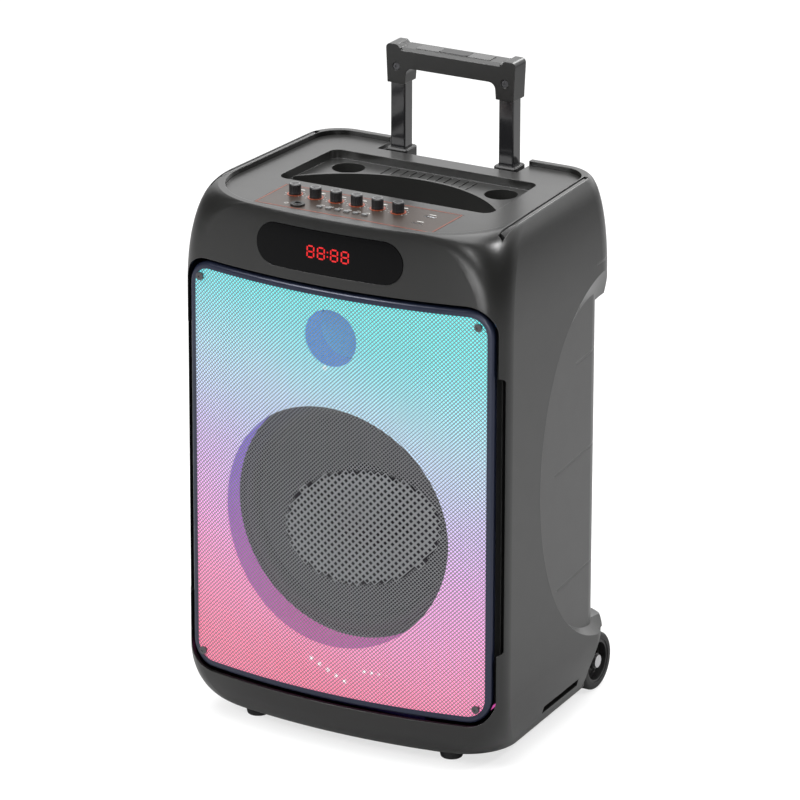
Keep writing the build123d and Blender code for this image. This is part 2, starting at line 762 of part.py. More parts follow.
def handle_grip():
    # Arched moulding on both posts: two legs, a flat bar and a raised shoulder at each end.
    y0 = post_y - grip_deep / 2
    foot = grip_half - 2.0
    outer = Polyline((-foot, grip_low), (foot, grip_low), (grip_half, grip_high), (-grip_half, grip_high), (-foot, grip_low))
    outer = make_face(outer.edges())
    outer = fillet(outer.vertices().group_by(Axis.Y)[-1], 5.0)
    arch = Polyline((-55, 650), (55, 650), (53.2, arch_high), (-53.2, arch_high), (-55, 650))
    arch = make_face(arch.edges())
    arch = fillet(arch.vertices().group_by(Axis.Y)[-1], 8.0)
    grip = Pos(0, y0 + grip_deep, 0) * extrude(Plane.XZ * (outer - arch), grip_deep)
    grip -= block(-bar_half, bar_half, y0 - 1, y0 + grip_deep + 1, bar_high, grip_high + 1)
    front_edge = grip.edges().filter_by(Axis.X).group_by(Axis.Z)[-2].sort_by(Axis.Y)[0]
    grip = chamfer(front_edge, 3.0)
    grip -= block(-grip_cap_half - 0.2, grip_cap_half + 0.2, y0 + 4.8, y0 + grip_deep - 3.8, bar_high - 6, grip_high)
    for side in (-1, 1):
        grip -= post_hole(side * post_x, post_wide + 0.1, post_deep + 0.1, grip_low - 1, grip_low + 22)
        grip -= rod_y(4.3, y0 - 1, y0 + 2.6, side * post_x, grip_screw_z)
        grip -= rod_y(2.0, y0 - 1, y0 + 9, side * post_x, grip_screw_z)
        grip -= Pos(side * 60.5, post_y, grip_high) * Rot(0, 45, 0) * Box(6, 40, 6)
    grip -= block(-17.4, 17.4, post_y - 7.4 + 0.5, post_y + 7.4 + 0.5, grip_low, grip_high + 1)
    return grip


def grip_cap():
    y0 = post_y - grip_deep / 2
    cap = block(-grip_cap_half, grip_cap_half, y0 + 5, y0 + grip_deep - 4, bar_high - 5.8, bar_high + 0.6)
    cap = fillet(cap.edges().filter_by(Axis.X).group_by(Axis.Z)[-1], 0.5)
    return cap - block(-17.4, 17.4, post_y - 6.9, post_y + 7.9, 600, 720)


def release_button():
    low = bar_high - 14
    button = block(-17, 17, post_y - 6.5, post_y + 7.5, low, bar_high + 0.8)
    return fillet(button.edges().filter_by(Axis.Z), 4.0)


def handle_screws():
    face = post_y - grip_deep / 2 + 2.58
    return [screw_y(3.8, 5, side * post_x, face, grip_screw_z, -1) for side in (-1, 1)]


def wheel_tyre(side):
    low = wheel_face - wheel_width
    tyre = rod_x(wheel_radius, low, wheel_face, wheel_y, wheel_radius)
    tyre = fillet(tyre.edges(), 4.0)
    tyre -= rod_x(wheel_radius - 8, low - 1, wheel_face + 1, wheel_y, wheel_radius)
    return tyre if side > 0 else mirror(tyre, Plane.YZ)


def wheel_hub(side):
    low = wheel_face - wheel_width
    rim = rod_x(wheel_radius - 8, low + 1, wheel_face - 1, wheel_y, wheel_radius)
    rim -= rod_x(wheel_radius - 11, low, wheel_face + 1, wheel_y, wheel_radius)
    web = rod_x(wheel_radius - 10.5, low + 9, low + 14, wheel_y, wheel_radius)
    for n in range(5):
        turn = radians(72 * n + 18)
        y = wheel_y + 14.2 * cos(turn)
        z = wheel_radius + 14.2 * sin(turn)
        web -= rod_x(4.8, low, wheel_face, y, z)
    boss = rod_x(8.5, low + 1, wheel_face - 2, wheel_y, wheel_radius)
    hub = rim + web + boss - rod_x(axle_radius + 0.06, low - 1, wheel_face + 1, wheel_y, wheel_radius)
    return hub if side > 0 else mirror(hub, Plane.YZ)


def axle():
    shaft = rod_x(axle_radius, -wheel_face - 0.4, wheel_face + 0.4, wheel_y, wheel_radius)
    for side in (-1, 1):
        head = rod_x(7.0, wheel_face - 1.6, wheel_face + 0.4, wheel_y, wheel_radius)
        shaft += head if side > 0 else mirror(head, Plane.YZ)
    return shaft


def front_feet():
    feet = []
    for side in (-1, 1):
        tall = bottom_z - 0.1
        foot = Pos(side * foot_x, foot_y, tall / 2) * Cone(foot_radius - 2, foot_radius, tall)
        foot = fillet(foot.edges().sort_by(Axis.Z)[0], 2.0)
        feet.append(foot + rod_z(3.9, tall - 1, tall + 7, side * foot_x, foot_y))
    return feet


def battery_pack():
    return fillet(block(-70, 70, -60, 5, 17, 62).edges().filter_by(Axis.X), 3.0)


def amplifier_board():
    board = block(-60, 60, 112, 113.6, 148, 256)
    for x in (-40, -12, 20, 44):
        board += rod_y(8, 113.6, 134, x, 228)
    return board + block(-50, 50, 113.6, 128, 150, 158)





def save(name, shape):
    # Every piece moves by the same amount, so that the origin is the middle of the footprint.
    place = Pos(0, origin_shift, 0)
    if isinstance(shape, list):
        moved = Compound(children=[place * item.solid() for item in shape])
    else:
        moved = place * shape
    export_step(moved, "parts/" + name + ".step")


save("cabinet_shell", cabinet_shell())
save("top_panel", top_panel())
for side, word in ((-1, "left"), (1, "right")):
    save("rim_trim_" + word, trim_bar(side, 0.0, 0.3) & body_solid(0.6))
    save("wheel_tyre_" + word, wheel_tyre(side))
    save("wheel_hub_" + word, wheel_hub(side))
save("front_grille", front_grille())
save("light_diffuser", light_diffuser())
save("light_frame", light_frame())
save("front_baffle", front_baffle())
save("led_strips", led_strips())
save("woofer_basket", woofer_basket())
save("woofer_surround", woofer_surround())
save("woofer_cone", woofer_cone())
save("woofer_cap", woofer_cap())
save("woofer_magnet", woofer_magnet())
save("tweeter_horn", tweeter_horn())
save("tweeter_driver", tweeter_driver())
save("display_window", display_window())
save("display_board", display_board())
save("control_plate", control_plate())
save("control_board", control_board())
for number, x in enumerate(knob_xs, 1):
    save("knob_" + str(number), knob(x))
save("potentiometers", potentiometers())
for number, x in enumerate(button_xs, 1):
    save("button_" + str(number), push_button(x))
save("jack_socket", jack_socket())
save("usb_socket", usb_socket())
save("card_socket", card_socket())
save("back_panel", back_panel())
save("back_screws", back_screws())
save("grille_screws", grille_screws())
save("bass_port", bass_port())
save("io_plate", io_plate())
save("power_inlet", power_inlet())
save("rocker_frame", rocker_frame())
save("power_rocker", power_rocker())
save("guide_tubes", guide_tubes())
save("tube_collars", tube_collars())
save("handle_posts", handle_posts())
save("handle_grip", handle_grip())
save("grip_cap", grip_cap())
save("release_button", release_button())
save("handle_screws", handle_screws())
save("axle", axle())
save("front_feet", front_feet())
save("battery_pack", battery_pack())
save("amplifier_board", amplifier_board())
save("grille_insert", grille_insert())
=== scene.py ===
import json
import math

import bmesh
import bpy
from mathutils import Matrix, Vector


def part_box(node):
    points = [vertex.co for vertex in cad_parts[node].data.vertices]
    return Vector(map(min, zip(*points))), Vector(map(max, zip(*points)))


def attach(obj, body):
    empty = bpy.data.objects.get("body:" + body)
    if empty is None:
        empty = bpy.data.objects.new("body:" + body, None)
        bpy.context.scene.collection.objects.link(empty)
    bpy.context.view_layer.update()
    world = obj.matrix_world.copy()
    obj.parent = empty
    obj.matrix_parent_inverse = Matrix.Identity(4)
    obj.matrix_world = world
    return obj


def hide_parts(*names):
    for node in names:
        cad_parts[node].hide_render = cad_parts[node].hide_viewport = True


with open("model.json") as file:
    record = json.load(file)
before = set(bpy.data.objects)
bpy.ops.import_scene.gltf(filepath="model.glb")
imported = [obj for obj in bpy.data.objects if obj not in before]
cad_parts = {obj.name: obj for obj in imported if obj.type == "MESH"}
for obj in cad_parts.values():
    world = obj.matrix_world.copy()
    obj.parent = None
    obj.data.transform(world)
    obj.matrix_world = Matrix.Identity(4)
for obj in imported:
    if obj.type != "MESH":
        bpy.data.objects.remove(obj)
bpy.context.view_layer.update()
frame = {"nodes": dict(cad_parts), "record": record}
cadNodes = frame["nodes"]
print("frame in,", len(cadNodes), "nodes")


def groupTree(name, inputs, outputs):
    # a shader node group with its own named sockets
    tree = bpy.data.node_groups.new(name, "ShaderNodeTree")
    for label, kind, value in inputs:
        socket = tree.interface.new_socket(label, in_out="INPUT", socket_type=kind)
        socket.default_value = value
    for label, kind in outputs:
        tree.interface.new_socket(label, in_out="OUTPUT", socket_type=kind)
    return tree, tree.nodes.new("NodeGroupInput"), tree.nodes.new("NodeGroupOutput")


def addNode(tree, kind, **settings):
    node = tree.nodes.new(kind)
    for key, value in settings.items():
        setattr(node, key, value)
    return node


def wire(tree, source, target):
    tree.links.new(source, target)


def mathNode(tree, operation, first, second=None, third=None, clamp=False):
    node = addNode(tree, "ShaderNodeMath", operation=operation, use_clamp=clamp)
    for place, value in enumerate((first, second, third)):
        if value is None:
            continue
        if isinstance(value, (int, float)):
            node.inputs[place].default_value = value
        else:
            wire(tree, value, node.inputs[place])
    return node.outputs[0]


def rangeNode(tree, value, low, high, newLow=0.0, newHigh=1.0, smooth=True):
    fade = "SMOOTHSTEP" if smooth else "LINEAR"
    node = addNode(tree, "ShaderNodeMapRange", interpolation_type=fade)
    wire(tree, value, node.inputs["Value"])
    for key, number in (("From Min", low), ("From Max", high), ("To Min", newLow), ("To Max", newHigh)):
        node.inputs[key].default_value = number
    return node.outputs["Result"]


def mixColour(tree, factor, first, second):
    # sockets 6 and 7 of the colour mix are its two colours, and output 2 is the result
    node = addNode(tree, "ShaderNodeMix", data_type="RGBA")
    for place, value in ((0, factor), (6, first), (7, second)):
        if hasattr(value, "is_linked"):
            wire(tree, value, node.inputs[place])
        else:
            node.inputs[place].default_value = (*value, 1.0)
    return node.outputs[2]


def objectCoords(tree):
    return addNode(tree, "ShaderNodeTexCoord").outputs["Object"]


def noiseNode(tree, coords, scale, detail=4.0, rough=0.55):
    node = addNode(tree, "ShaderNodeTexNoise")
    wire(tree, coords, node.inputs["Vector"])
    if isinstance(scale, (int, float)):
        node.inputs["Scale"].default_value = scale
    else:
        wire(tree, scale, node.inputs["Scale"])
    node.inputs["Detail"].default_value = detail
    node.inputs["Roughness"].default_value = rough
    return node.outputs["Fac"]


mouldedScales = {
    "broad": 9.0,
    "smudge": 38.0,
    "chips": 160.0,
    "edgeTurn": (0.995, 0.86),
    "chipLevel": (0.42, 0.62),
    "wornShine": -0.08,
}


def makeMouldedGroup():
    # moulded or painted surface: colour mottle, roughness blotches, fine grain and worn edges
    tree, gin, gout = groupTree(
        "mouldedSurface",
        [
            ("Colour", "NodeSocketColor", (0.02, 0.02, 0.02, 1)),
            ("Worn Colour", "NodeSocketColor", (0.08, 0.08, 0.08, 1)),
            ("Mottle", "NodeSocketFloat", 0.15),
            ("Roughness", "NodeSocketFloat", 0.4),
            ("Roughness Spread", "NodeSocketFloat", 0.06),
            ("Grain Scale", "NodeSocketFloat", 1400.0),
            ("Edge Size", "NodeSocketFloat", 0.0012),
            ("Edge Wear", "NodeSocketFloat", 0.5),
        ],
        [
            ("Colour", "NodeSocketColor"),
            ("Roughness", "NodeSocketFloat"),
            ("Height", "NodeSocketFloat"),
        ],
    )
    look = mouldedScales
    coords = objectCoords(tree)
    broad = noiseNode(tree, coords, look["broad"], 3.0)
    fine = noiseNode(tree, coords, gin.outputs["Grain Scale"], 2.0)
    smudge = noiseNode(tree, coords, look["smudge"], 5.0, 0.62)
    bevel = addNode(tree, "ShaderNodeBevel", samples=4)
    wire(tree, gin.outputs["Edge Size"], bevel.inputs["Radius"])
    geometry = addNode(tree, "ShaderNodeNewGeometry")
    turn = addNode(tree, "ShaderNodeVectorMath", operation="DOT_PRODUCT")
    wire(tree, bevel.outputs[0], turn.inputs[0])
    wire(tree, geometry.outputs["Normal"], turn.inputs[1])
    edge = rangeNode(tree, turn.outputs["Value"], *look["edgeTurn"])
    broken = rangeNode(tree, noiseNode(tree, coords, look["chips"], 6.0, 0.7), *look["chipLevel"])
    rubbed = mathNode(tree, "MULTIPLY", edge, broken)
    wear = mathNode(tree, "MULTIPLY", rubbed, gin.outputs["Edge Wear"], clamp=True)
    uneven = mathNode(tree, "SUBTRACT", broad, 0.5)
    shade = mathNode(tree, "MULTIPLY_ADD", uneven, gin.outputs["Mottle"], 1.0)
    tint = addNode(tree, "ShaderNodeVectorMath", operation="SCALE")
    wire(tree, gin.outputs["Colour"], tint.inputs[0])
    wire(tree, shade, tint.inputs["Scale"])
    surface = mixColour(tree, wear, tint.outputs[0], gin.outputs["Worn Colour"])
    wire(tree, surface, gout.inputs["Colour"])
    spread, rough = gin.outputs["Roughness Spread"], gin.outputs["Roughness"]
    patches = mathNode(tree, "SUBTRACT", smudge, 0.5)
    blotch = mathNode(tree, "MULTIPLY_ADD", patches, spread, rough)
    shine = mathNode(tree, "MULTIPLY_ADD", wear, look["wornShine"], blotch)
    wire(tree, shine, gout.inputs["Roughness"])
    wire(tree, fine, gout.inputs["Height"])
    return tree


mouldedGroup = makeMouldedGroup()


# what a look has unless it says otherwise
plainLook = dict(
    mottle=0.15,
    spread=0.06,
    grain=1400.0,
    edge=0.0010,
    wear=0.35,
    bump=0.12,
    bumpDepth=0.00015,
    soft=0.0,
    metal=0.0,
    ior=1.5,
    coat=0.0,
    coatRough=0.08,
)


def mouldedMaterial(name, changes):
    # one Principled surface fed by the moulded group; constants sit on the shader's own sockets
    look = {**plainLook, **changes}
    worn = [min(1.0, part * 2.2 + 0.01) for part in look["colour"]]
    material = bpy.data.materials.new(name)
    material.use_nodes = True
    tree = material.node_tree
    shader = tree.nodes["Principled BSDF"]
    skin = addNode(tree, "ShaderNodeGroup", node_tree=mouldedGroup)
    skin.inputs["Colour"].default_value = (*look["colour"], 1)
    skin.inputs["Worn Colour"].default_value = (*worn, 1)
    skin.inputs["Mottle"].default_value = look["mottle"]
    skin.inputs["Roughness"].default_value = look["roughness"]
    skin.inputs["Roughness Spread"].default_value = look["spread"]
    skin.inputs["Grain Scale"].default_value = look["grain"]
    skin.inputs["Edge Size"].default_value = look["edge"]
    skin.inputs["Edge Wear"].default_value = look["wear"]
    wire(tree, skin.outputs["Colour"], shader.inputs["Base Color"])
    wire(tree, skin.outputs["Roughness"], shader.inputs["Roughness"])
    bump = addNode(tree, "ShaderNodeBump")
    bump.inputs["Strength"].default_value = look["bump"]
    bump.inputs["Distance"].default_value = look["bumpDepth"]
    wire(tree, skin.outputs["Height"], bump.inputs["Height"])
    if look["soft"]:
        corner = addNode(tree, "ShaderNodeBevel", samples=6)
        corner.inputs["Radius"].default_value = look["soft"]
        wire(tree, corner.outputs[0], bump.inputs["Normal"])
    wire(tree, bump.outputs[0], shader.inputs["Normal"])
    shader.inputs["Metallic"].default_value = look["metal"]
    shader.inputs["IOR"].default_value = look["ior"]
    shader.inputs["Coat Weight"].default_value = look["coat"]
    shader.inputs["Coat Roughness"].default_value = look["coatRough"]
    return material


looks = {
    "body_plastic": dict(colour=(0.0068, 0.0068, 0.0064), roughness=0.30, soft=0.0012, wear=0.25),
    "top_plastic": dict(colour=(0.014, 0.014, 0.0134), roughness=0.30, soft=0.0009, wear=0.3),
    "gloss_trim": dict(colour=(0.02, 0.02, 0.02), roughness=0.2, soft=0.0008, wear=0.2),
    "grille_metal": dict(colour=(0.03, 0.032, 0.035), roughness=0.42, metal=0.3, wear=0.5),
    "board_wood": dict(colour=(0.008, 0.008, 0.008), roughness=0.6, mottle=0.3),
    "circuit": dict(colour=(0.01, 0.06, 0.03), roughness=0.4),
    "basket_metal": dict(colour=(0.035, 0.035, 0.04), roughness=0.45, metal=0.4),
    "soft_rubber": dict(colour=(0.015, 0.015, 0.016), roughness=0.7),
    "cone_paper": dict(colour=(0.02, 0.02, 0.022), roughness=0.8, mottle=0.4, grain=500.0, bump=0.4),
    "magnet_metal": dict(colour=(0.35, 0.35, 0.36), roughness=0.35, metal=0.9),
    "black_plastic": dict(colour=(0.008, 0.008, 0.008), roughness=0.42, soft=0.0006),
    "gloss_window": dict(
        colour=(0.001, 0.001, 0.0012), roughness=0.05, spread=0.02, bump=0.0, wear=0.0, ior=1.2
    ),
    "control_print": dict(colour=(0.030, 0.020, 0.015), roughness=0.36, metal=0.3),
    "steel": dict(colour=(0.55, 0.55, 0.56), roughness=0.28, metal=1.0),
    "dark_steel": dict(colour=(0.10, 0.10, 0.105), roughness=0.32, metal=0.9),
    "post_metal": dict(
        colour=(0.012, 0.012, 0.013),
        roughness=0.12,
        spread=0.03,
        soft=0.0008,
        coat=0.5,
        bump=0.02,
        wear=0.15,
    ),
    "wheel_tyre": dict(colour=(0.011, 0.011, 0.011), roughness=0.62, soft=0.0008),
    "battery_wrap": dict(colour=(0.03, 0.09, 0.22), roughness=0.4),
    "knob_plastic": dict(colour=(0.011, 0.011, 0.012), roughness=0.33, soft=0.0004),
    "button_plastic": dict(colour=(0.10, 0.10, 0.10), roughness=0.4, soft=0.0003),
}
finishes = {name: mouldedMaterial(name.replace("_", " "), look) for name, look in looks.items()}

print("finishes made:", len(finishes))


stageLook = {
    "floorSize": 14.0,
    "floorColour": (0.93, 0.93, 0.93),
    "floorForBounce": (0.42, 0.42, 0.42),
    "floorGlow": 0.7,
    "floorDrop": 0.0004,
    "skyBack": 1.9,
    "skyFront": 0.12,
    "skyTowards": (-0.05, 0.93, 0.36),
    "skyFade": (0.45, 0.95),
    "cameraLens": 269.6,
    "cameraSensor": 36.0,
    "cameraReach": 60.0,
    "cameraPlace": (2.9052, -5.1795, 2.4997),
    "cameraAim": (0.0, -0.0089, 0.3455),
    "cameraRoll": 0.145,
}


def makeFloor():
    bpy.ops.object.select_all(action="DESELECT")
    under = (0, 0, -stageLook["floorDrop"])
    bpy.ops.mesh.primitive_plane_add(size=stageLook["floorSize"], location=under)
    floor = bpy.context.object
    floor.name = "floor"
    material = bpy.data.materials.new("floor white")
    material.use_nodes = True
    tree = material.node_tree
    tree.nodes.clear()
    lit = addNode(tree, "ShaderNodeBsdfDiffuse")
    lit.inputs["Color"].default_value = (*stageLook["floorColour"], 1)
    glow = addNode(tree, "ShaderNodeEmission")
    seen = addNode(tree, "ShaderNodeMixShader")
    seen.inputs[0].default_value = stageLook["floorGlow"]
    wire(tree, lit.outputs[0], seen.inputs[1])
    wire(tree, glow.outputs[0], seen.inputs[2])
    bounced = addNode(tree, "ShaderNodeBsdfDiffuse")
    bounced.inputs["Color"].default_value = (*stageLook["floorForBounce"], 1)
    path = addNode(tree, "ShaderNodeLightPath")
    both = addNode(tree, "ShaderNodeMixShader")
    out = addNode(tree, "ShaderNodeOutputMaterial")
    wire(tree, path.outputs["Is Camera Ray"], both.inputs[0])
    wire(tree, bounced.outputs[0], both.inputs[1])
    wire(tree, seen.outputs[0], both.inputs[2])
    wire(tree, both.outputs[0], out.inputs["Surface"])
    floor.data.materials.append(material)


def makeWorld():
    world = bpy.data.worlds.new("studio")
    bpy.context.scene.world = world
    world.use_nodes = True
    tree = world.node_tree
    tree.nodes.clear()
    direction = addNode(tree, "ShaderNodeTexCoord").outputs["Generated"]
    toBack = addNode(tree, "ShaderNodeVectorMath", operation="DOT_PRODUCT")
    toBack.inputs[1].default_value = stageLook["skyTowards"]
    wire(tree, direction, toBack.inputs[0])
    front, back = stageLook["skyFront"], stageLook["skyBack"]
    glow = rangeNode(tree, toBack.outputs["Value"], *stageLook["skyFade"], front, back)
    soft = addNode(tree, "ShaderNodeBackground")
    wire(tree, glow, soft.inputs["Strength"])
    plain = addNode(tree, "ShaderNodeBackground")
    plain.inputs["Strength"].default_value = 1.0
    path = addNode(tree, "ShaderNodeLightPath")
    both = addNode(tree, "ShaderNodeMixShader")
    out = addNode(tree, "ShaderNodeOutputWorld")
    wire(tree, path.outputs["Is Camera Ray"], both.inputs[0])
    wire(tree, soft.outputs[0], both.inputs[1])
    wire(tree, plain.outputs[0], both.inputs[2])
    wire(tree, both.outputs[0], out.inputs["Surface"])


def areaLight(name, place, target, size, power):
    data = bpy.data.lights.new(name, "AREA")
    data.shape = "RECTANGLE"
    data.size, data.size_y = size
    data.energy = power
    lamp = bpy.data.objects.new(name, data)
    lamp.location = place
    lamp.rotation_mode = "QUATERNION"
    lamp.rotation_quaternion = (Vector(target) - Vector(place)).to_track_quat("-Z", "Y")
    bpy.context.scene.collection.objects.link(lamp)


softLights = {
    "top soft": dict(place=(-0.3, -0.2, 3.2), target=(0, 0, 0.3), size=(3.4, 3.4), power=190),
    "front left soft": dict(place=(-1.6, -2.6, 2.3), target=(0, 0, 0.45), size=(1.5, 1.2), power=92),
    "rear soft": dict(place=(0.0, 2.6, 2.1), target=(0, 0, 0.55), size=(1.1, 0.8), power=26),
    "corner soft": dict(place=(1.7, 0.2, 1.83), target=(0.15, -0.12, 0.55), size=(0.3, 0.3), power=20),
    "low front soft": dict(place=(0.9, -2.4, 0.3), target=(0.1, -0.1, 0.05), size=(1.0, 0.4), power=14),
    "right strip": dict(place=(1.35, -1.7, 1.55), target=(0.05, -0.05, 0.5), size=(0.22, 0.9), power=9),
}


def makeCamera():
    data = bpy.data.cameras.new("camera")
    data.lens = stageLook["cameraLens"]
    data.sensor_width = stageLook["cameraSensor"]
    data.clip_end = stageLook["cameraReach"]
    camera = bpy.data.objects.new("camera", data)
    place = Vector(stageLook["cameraPlace"])
    back = place - Vector(stageLook["cameraAim"])
    level = back.to_track_quat("Z", "Y").to_matrix().to_4x4()
    roll = Matrix.Rotation(math.radians(stageLook["cameraRoll"]), 4, "Z")
    camera.matrix_world = Matrix.Translation(place) @ level @ roll
    bpy.context.scene.collection.objects.link(camera)
    bpy.context.scene.camera = camera


makeFloor()
makeWorld()
makeCamera()
for name, light in softLights.items():
    areaLight(name, **light)
bpy.context.scene.view_settings.view_transform = "Standard"
print("stage, lights and camera ready")


glowDrift = dict(scale=7.0, detail=2.0, amount=0.05)


def glowMaterial(name, stops, strength, base, turn=(0.0, 0.0, 1.0), spots=(), reach=None):
    # light seen through a diffuser, or painted lamp light on parts that are no lamps: a colour ramp
    # along one direction, with small bright lamps on it
    material = bpy.data.materials.new(name)
    material.use_nodes = True
    tree = material.node_tree
    shader = tree.nodes["Principled BSDF"]
    coords = objectCoords(tree)
    along = addNode(tree, "ShaderNodeVectorMath", operation="DOT_PRODUCT")
    along.inputs[1].default_value = turn
    wire(tree, coords, along.inputs[0])
    cloud = noiseNode(tree, coords, glowDrift["scale"], glowDrift["detail"])
    drift = mathNode(tree, "MULTIPLY_ADD", cloud, glowDrift["amount"], along.outputs["Value"])
    first, last = stops[0][0], stops[-1][0]
    lift = glowDrift["amount"] / 2
    place = rangeNode(tree, drift, first + lift, last + lift, smooth=False)
    ramp = addNode(tree, "ShaderNodeValToRGB")
    ramp.color_ramp.interpolation = "B_SPLINE"
    while len(ramp.color_ramp.elements) < len(stops):
        ramp.color_ramp.elements.new(0.5)
    for element, (height, colour) in zip(ramp.color_ramp.elements, stops):
        element.position = (height - first) / (last - first)
        element.color = (*colour, 1)
    wire(tree, place, ramp.inputs[0])
    colour = ramp.outputs[0]
    for centre, radius in spots:
        gap = addNode(tree, "ShaderNodeVectorMath", operation="DISTANCE")
        wire(tree, coords, gap.inputs[0])
        gap.inputs[1].default_value = centre
        lamp = rangeNode(tree, gap.outputs["Value"], radius, radius * 0.2)
        colour = mixColour(tree, lamp, colour, (1.0, 1.0, 1.0))
    if reach:
        apart = addNode(tree, "ShaderNodeSeparateXYZ")
        wire(tree, coords, apart.inputs[0])
        inner = rangeNode(tree, mathNode(tree, "ABSOLUTE", apart.outputs[0]), reach, reach - 0.0005)
        colour = mixColour(tree, inner, (0.0, 0.0, 0.0), colour)
    wire(tree, colour, shader.inputs["Emission Color"])
    shader.inputs["Emission Strength"].default_value = strength
    shader.inputs["Base Color"].default_value = (*base, 1)
    shader.inputs["Roughness"].default_value = 0.5
    return material


def clearAll():
    bpy.ops.object.select_all(action="DESELECT")


def pickOnly(thing):
    clearAll()
    thing.select_set(True)
    bpy.context.view_layer.objects.active = thing


def applyPlace(thing):
    pickOnly(thing)
    bpy.ops.object.transform_apply(location=True, rotation=True, scale=True)


def editMode(thing, kind="FACE"):
    pickOnly(thing)
    bpy.ops.object.mode_set(mode="EDIT")
    bpy.ops.mesh.select_mode(type=kind)
    bpy.ops.mesh.select_all(action="DESELECT")


def objectMode():
    bpy.ops.object.mode_set(mode="OBJECT")


def selectFaces(thing, test):
    # picks the faces whose centre passes a test
    editMode(thing)
    mesh = bmesh.from_edit_mesh(thing.data)
    for face in mesh.faces:
        if test(face.calc_center_median()):
            face.select_set(True)
    bmesh.update_edit_mesh(thing.data)


def insideRounded(x, z, halfWide, halfTall, corner):
    acrossX = max(abs(x) - halfWide + corner, 0.0)
    acrossZ = max(abs(z) - halfTall + corner, 0.0)
    return math.hypot(acrossX, acrossZ) < corner and abs(x) < halfWide and abs(z) < halfTall


def boxMiddle(name):
    low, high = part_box(name)
    return (low + high) / 2, (high - low) / 2


def bowSheet(thing, radius):
    # bends a flat sheet about an upright axis behind it
    pickOnly(thing)
    wide = thing.dimensions.x
    bend = thing.modifiers.new("bow", "SIMPLE_DEFORM")
    bend.deform_method = "BEND"
    bend.deform_axis = "Z"
    bend.angle = wide / radius
    bpy.ops.object.modifier_apply(modifier=bend.name)


def perforate(name, look, test):
    # flat sheet of square holes: one grid, trimmed to an outline, each cell inset and opened
    count = int(look["sheet"] / look["cell"])
    clearAll()
    wide = count * look["cell"]
    bpy.ops.mesh.primitive_grid_add(x_subdivisions=count, y_subdivisions=count, size=wide)
    sheet = bpy.context.object
    sheet.name = name
    sheet.rotation_euler = (math.radians(90), math.radians(45), 0)
    applyPlace(sheet)
    selectFaces(sheet, lambda centre: not test(centre.x, centre.z))
    bpy.ops.mesh.delete(type="FACE")
    bpy.ops.mesh.select_all(action="SELECT")
    bpy.ops.mesh.inset(thickness=look["web"], use_individual=True, use_even_offset=True)
    bpy.ops.mesh.delete(type="FACE")
    objectMode()
    return sheet


grilleLook = dict(
    bow=0.700,
    corner=0.028,
    margin=0.0035,
    roll=0.0042,
    depth=0.011,
    thick=0.001,
    bends=12,
    tuck=0.0016,
    sheet=0.6,
    cell=0.0031,
    web=0.00043,
    proud=0.0003,
    aroundInsert=-0.0035,
)
flat = 1e-5


def makeGrilleRim():
    # plain margin and rolled edge of the perforated grille
    middle, half = boxMiddle("front_grille")
    look = grilleLook
    arcHalf = look["bow"] * math.asin(half.x / look["bow"])
    clearAll()
    bpy.ops.mesh.primitive_plane_add(size=2, rotation=(math.radians(90), 0, 0))
    rim = bpy.context.object
    rim.name = "grilleRim"
    rim.scale = (arcHalf, half.z, 1)
    applyPlace(rim)
    editMode(rim, "VERT")
    bpy.ops.mesh.select_all(action="SELECT")
    bpy.ops.mesh.bevel(offset=look["corner"], segments=10, affect="VERTICES")
    bpy.ops.mesh.select_mode(type="FACE")
    bpy.ops.mesh.select_all(action="SELECT")
    bpy.ops.mesh.extrude_region_move(TRANSFORM_OT_translate={"value": (0, look["depth"], 0)})
    bpy.ops.mesh.delete(type="FACE")
    bpy.ops.mesh.select_mode(type="EDGE")
    mesh = bmesh.from_edit_mesh(rim.data)
    for edge in mesh.edges:
        edge.select_set(all(abs(corner.co.y) < flat for corner in edge.verts))
    bmesh.update_edit_mesh(rim.data)
    bpy.ops.mesh.bevel(offset=look["roll"], segments=5, affect="EDGES")
    objectMode()
    selectFaces(rim, lambda centre: abs(centre.y) < flat)
    bpy.ops.mesh.inset(thickness=look["margin"])
    bpy.ops.mesh.delete(type="FACE")
    for step in range(1 - look["bends"], look["bends"]):
        bpy.ops.mesh.select_all(action="SELECT")
        bpy.ops.mesh.bisect(plane_co=(arcHalf * step / look["bends"], 0, 0), plane_no=(1, 0, 0))
    bpy.ops.mesh.select_all(action="SELECT")
    bpy.ops.mesh.normals_make_consistent(inside=False)
    objectMode()
    pickOnly(rim)
    thick = rim.modifiers.new("thick", "SOLIDIFY")
    thick.thickness = look["thick"]
    thick.offset = -1
    bpy.ops.object.modifier_apply(modifier=thick.name)
    bowSheet(rim, look["bow"])
    bpy.ops.object.shade_smooth_by_angle(angle=math.radians(40))
    rim.location = (0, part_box("front_grille")[0].y, middle.z)
    applyPlace(rim)
    return rim


insertLook = dict(
    wide=0.094,
    tall=0.0655,
    turn=math.radians(14),
    sheet=0.22,
    cell=0.0058,
    web=0.0013,
    inward=-0.0045,
    gap=0.0001,
)
insertMiddle = boxMiddle("grille_insert")[0]


def inInsert(x, z, grow):
    # whether a point seen from the front lies in the turned oval
    dx = x - insertMiddle.x
    dz = z - insertMiddle.z
    turn = insertLook["turn"]
    along = dx * math.cos(turn) + dz * math.sin(turn)
    across = -dx * math.sin(turn) + dz * math.cos(turn)
    wide, tall = insertLook["wide"] + grow, insertLook["tall"] + grow
    return math.hypot(along / wide, across / tall) < 1


